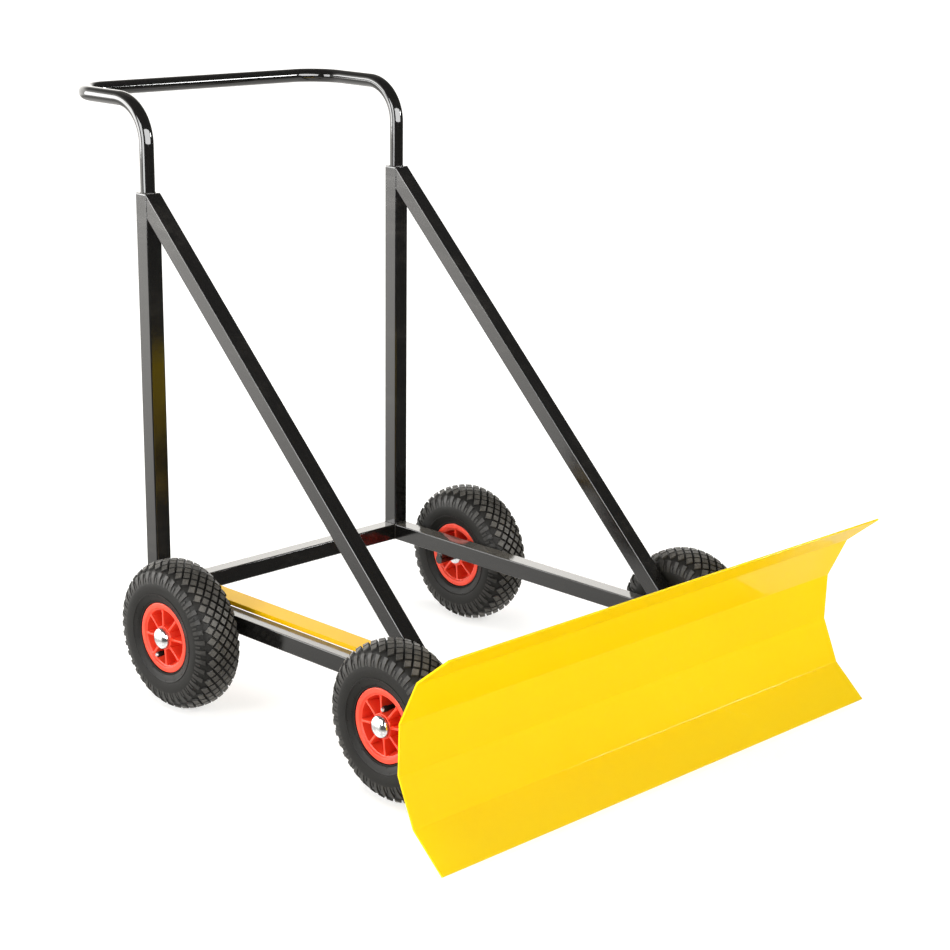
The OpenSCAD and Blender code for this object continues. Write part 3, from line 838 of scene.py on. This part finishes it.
# The domed cap on each axle's end: radius, distance out from its foot.
DOME = [
    (0.01, 8.3), (4, 8.15), (8, 7.6), (11.5, 6.7), (14.5, 5.4), (16.6, 4.0),
    (17.6, 2.9), (18.1, 1.9), (18.5, 1.2), (18.5, 0.3), (18.0, 0.0), (10.2, 0.0),
]
# The hub's clearance and the outer washer lie between the hub and the cap.
HUB_GAP, WASHER = 0.3, 2.5
CAP_FOOT = HUB_HALF + HUB_GAP + WASHER

# The turn of each wheel's first rib, the same as in the CAD model, in degrees: from upwards on the right,
# from downwards on the left.
FIRST_RIB = {
    ("rear", "left"): 41, ("rear", "right"): 139, ("front", "left"): 20, ("front", "right"): -39,
}


def rib_angle(end_name, side_name, further=0.0):
    """A rib's place, or one further round by some degrees, as an angle from backwards towards up."""
    turn = FIRST_RIB[end_name, side_name] + further
    return math.radians(90 - turn if side_name == "right" else turn - 90)


for number, (end_name, side_name) in enumerate(FIRST_RIB):
    wheel = f"{end_name}_{side_name}"
    body = f"{wheel}_wheel"
    side, axle_y = SIDES[side_name], AXLES[end_name]
    place = wheel_place(side, axle_y)
    phase = 0.37 * number
    piece(f"{wheel}_tyre_carcass", *tyre_carcass(place), SIDEWALL, body, "tyre", [f"{wheel}_tyre"], sharp=50)
    blocks = tread_blocks(place, phase)
    # These shares put dust on the tops of the blocks and lugs and leave their sides dark as a painted shade.
    shares = [dust for _, _, dust in BLOCK_OUTLINES for _ in range(4)] * (len(blocks[0]) // 12)
    piece(f"{wheel}_tread_blocks", *blocks, TREAD, body, "tyre", (), sharp=25, top_share=shares)
    lugs = shoulder_lugs(place, phase)
    shares = list(LUG_DUST_AND_SHADE) * (len(lugs[0]) // 4)
    piece(f"{wheel}_shoulder_lugs", *lugs, TREAD, body, "tyre", (), sharp=25, top_share=shares)
    # The pips take the darker rubber of the valves instead of the side wall's, a painted shade that makes
    # them read as dark dots.
    pips = merge([vent_pips(place, 7 + number, 1), vent_pips(place, 17 + number, -1)])
    piece(f"{wheel}_vent_pips", *pips, DARK_RUBBER, body, "tyre", (), sharp=60)
    rim = merge([rim_body(place), rim_ribs(place, rib_angle(end_name, side_name))])
    piece(f"{wheel}_moulded_rim", *rim, RED, body, "rim_plastic", [f"{wheel}_rim"])
    pocket = rib_angle(end_name, side_name, 180 / RIBS)
    stem = valve_part(side, axle_y, pocket, STEM)
    piece(f"{wheel}_valve_stem", *stem, DARK_RUBBER, body, "tube_rubber", [f"{wheel}_valve"], sharp=40)
    tip = valve_part(side, axle_y, pocket, TIP)
    piece(f"{wheel}_valve_tip", *tip, ZINC, body, "tube_rubber", (), sharp=40)
    cap = lathe([(r, CAP_FOOT + x) for r, x in DOME], place, 64)
    replaced = ["axle_caps"] if number == 0 else []
    piece(f"{wheel}_axle_dome", *cap, CHROME, "frame", "cap_chrome", replaced, sharp=60)

# ---------------------------------------------------------------- CAD nodes that stay

WHEELS = [f"{end_name}_{side_name}" for end_name, side_name in FIRST_RIB]
KEPT = {
    BLACK: [
        "rail_front_plates", "axle_blocks", "hinge_lugs", "front_strut_guide", "rear_strut_guide",
        *(f"{wheel}_axle" for wheel in WHEELS),
    ],
    YELLOW: ["blade_hinge_eye", "strut_lugs", "left_blade_rib", "right_blade_rib"],
    ZINC: [
        "inner_washers", "outer_washers", "hinge_pin", "hinge_pin_clip",
        "strut_pin", "strut_pin_clip", "clamp_screw",
    ],
    STEEL: [f"{wheel}_bearings" for wheel in WHEELS],
    DARK_RUBBER: [f"{wheel}_inner_tube" for wheel in WHEELS],
    PLASTIC: ["rail_end_plugs"],
}
for material, names in KEPT.items():
    for name in names:
        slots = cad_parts[name].data.materials
        slots.clear()
        slots.append(material)

# ---------------------------------------------------------------- floor, light and camera

bpy.ops.mesh.primitive_plane_add(size=120, location=(0, 0, 0))
floor = bpy.context.object
floor.name = "studio_floor"
floor.data.materials.append(studio_paper("floor_paper", 0.64, 0.97))
floor.visible_glossy = False

# A round paper wall far behind, which only the camera sees.
bpy.ops.mesh.primitive_cylinder_add(
    vertices=96, radius=16, depth=30, end_fill_type="NOTHING", location=(0, 0, 14.9),
)
wall = bpy.context.object
wall.name = "studio_wall"
wall.data.materials.append(studio_paper("wall_paper", 1.05, 1.05))
wall.visible_diffuse = wall.visible_glossy = wall.visible_shadow = False


def softbox(name, place, aim, size, power, glossy=True, diffuse=True):
    """A rectangular light, placed and aimed in metres."""
    lamp = bpy.data.lights.new(name, "AREA")
    lamp.shape = "RECTANGLE"
    lamp.size, lamp.size_y = size
    lamp.energy = power
    obj = bpy.data.objects.new(name, lamp)
    bpy.context.scene.collection.objects.link(obj)
    obj.location = place
    obj.rotation_euler = (Vector(aim) - Vector(place)).to_track_quat("-Z", "Y").to_euler()
    obj.visible_camera = False
    obj.visible_glossy = glossy
    obj.visible_diffuse = diffuse


softbox("left_softbox", (-3.3, 0.25, 1.25), (-0.2, 0.2, 0.8), (1.5, 1.9), 105)
softbox("back_left_panel", (-3.0, 3.3, 1.35), (-0.28, 0.45, 1.0), (2.6, 1.9), 150, diffuse=False)
softbox("overhead_box", (-0.7, 0.7, 3.5), (0, -0.1, 0.2), (2.6, 2.2), 80, glossy=False)
softbox("front_fill", (-0.4, -4.6, 2.6), (0, -0.5, 0.2), (3.4, 2.4), 145, glossy=False)
softbox("right_fill", (2.4, -2.6, 2.7), (0.5, -0.5, 0.1), (1.5, 1.5), 55, glossy=False)
softbox("front_window", (-1.0, -4.3, 1.9), (-0.3, 0.4, 1.0), (8.0, 2.6), 750, diffuse=False)
softbox("crease_strip", (2.85, -2.55, 1.72), (0, -0.5, 0.1), (0.8, 0.5), 60, diffuse=False)

world = bpy.data.worlds.new("studio")
bpy.context.scene.world = world
world.use_nodes = True
tree = world.node_tree
background = tree.nodes["Background"]
coords = tree.nodes.new("ShaderNodeTexCoord")
split = tree.nodes.new("ShaderNodeSeparateXYZ")
tree.links.new(coords.outputs["Generated"], split.inputs["Vector"])


def sky_span(axis, low, high, new_low, new_high):
    """A smooth change of brightness with the direction looked in."""
    node = map_range(tree, split.outputs[axis], low, high, new_low, new_high)
    node.interpolation_type = "SMOOTHSTEP"
    return node.outputs["Result"]


def sky_math(operation, a, b):
    node = tree.nodes.new("ShaderNodeMath")
    node.operation = operation
    tree.links.new(a, node.inputs[0])
    tree.links.new(b, node.inputs[1])
    return node.outputs["Value"]


# A bright low backdrop behind, bright paper straight below, and a dark studio in front and above.
low_glow = sky_span("Z", 0.30, 0.6, 2.8, 0.15)
below_fade = sky_span("Z", -0.40, -0.14, 0.15, 1.0)
height = sky_math("MULTIPLY", low_glow, below_fade)
backdrop = sky_math("MULTIPLY", sky_span("Y", 0.22, 0.6, 0.0, 1.0), height)
paper = sky_span("Z", -0.62, -0.3, 1.1, 0.12)
tree.links.new(sky_math("ADD", backdrop, paper), background.inputs["Strength"])
background.inputs["Color"].default_value = (1.0, 0.98, 0.94, 1)

camera_data = bpy.data.cameras.new("photo_camera")
camera = bpy.data.objects.new("photo_camera", camera_data)
bpy.context.scene.collection.objects.link(camera)
eye, aim = at(-2504.9, -3017.2, 1405.5), at(0.5, -701.2, 367.0)
roll = 0.025
forward = (aim - eye).normalized()
right = forward.cross(Vector((0, 0, 1))).normalized()
upward = right.cross(forward)
right, upward = (
    right * math.cos(roll) + upward * math.sin(roll),
    upward * math.cos(roll) - right * math.sin(roll),
)
camera.matrix_world = Matrix.Translation(eye) @ Matrix((right, upward, -forward)).transposed().to_4x4()
camera_data.sensor_width = 36
camera_data.lens = 83.37
camera_data.shift_x = -0.0916
camera_data.shift_y = 0.0596
camera_data.clip_end = 300
bpy.context.scene.camera = camera
bpy.context.scene.view_settings.view_transform = "Standard"
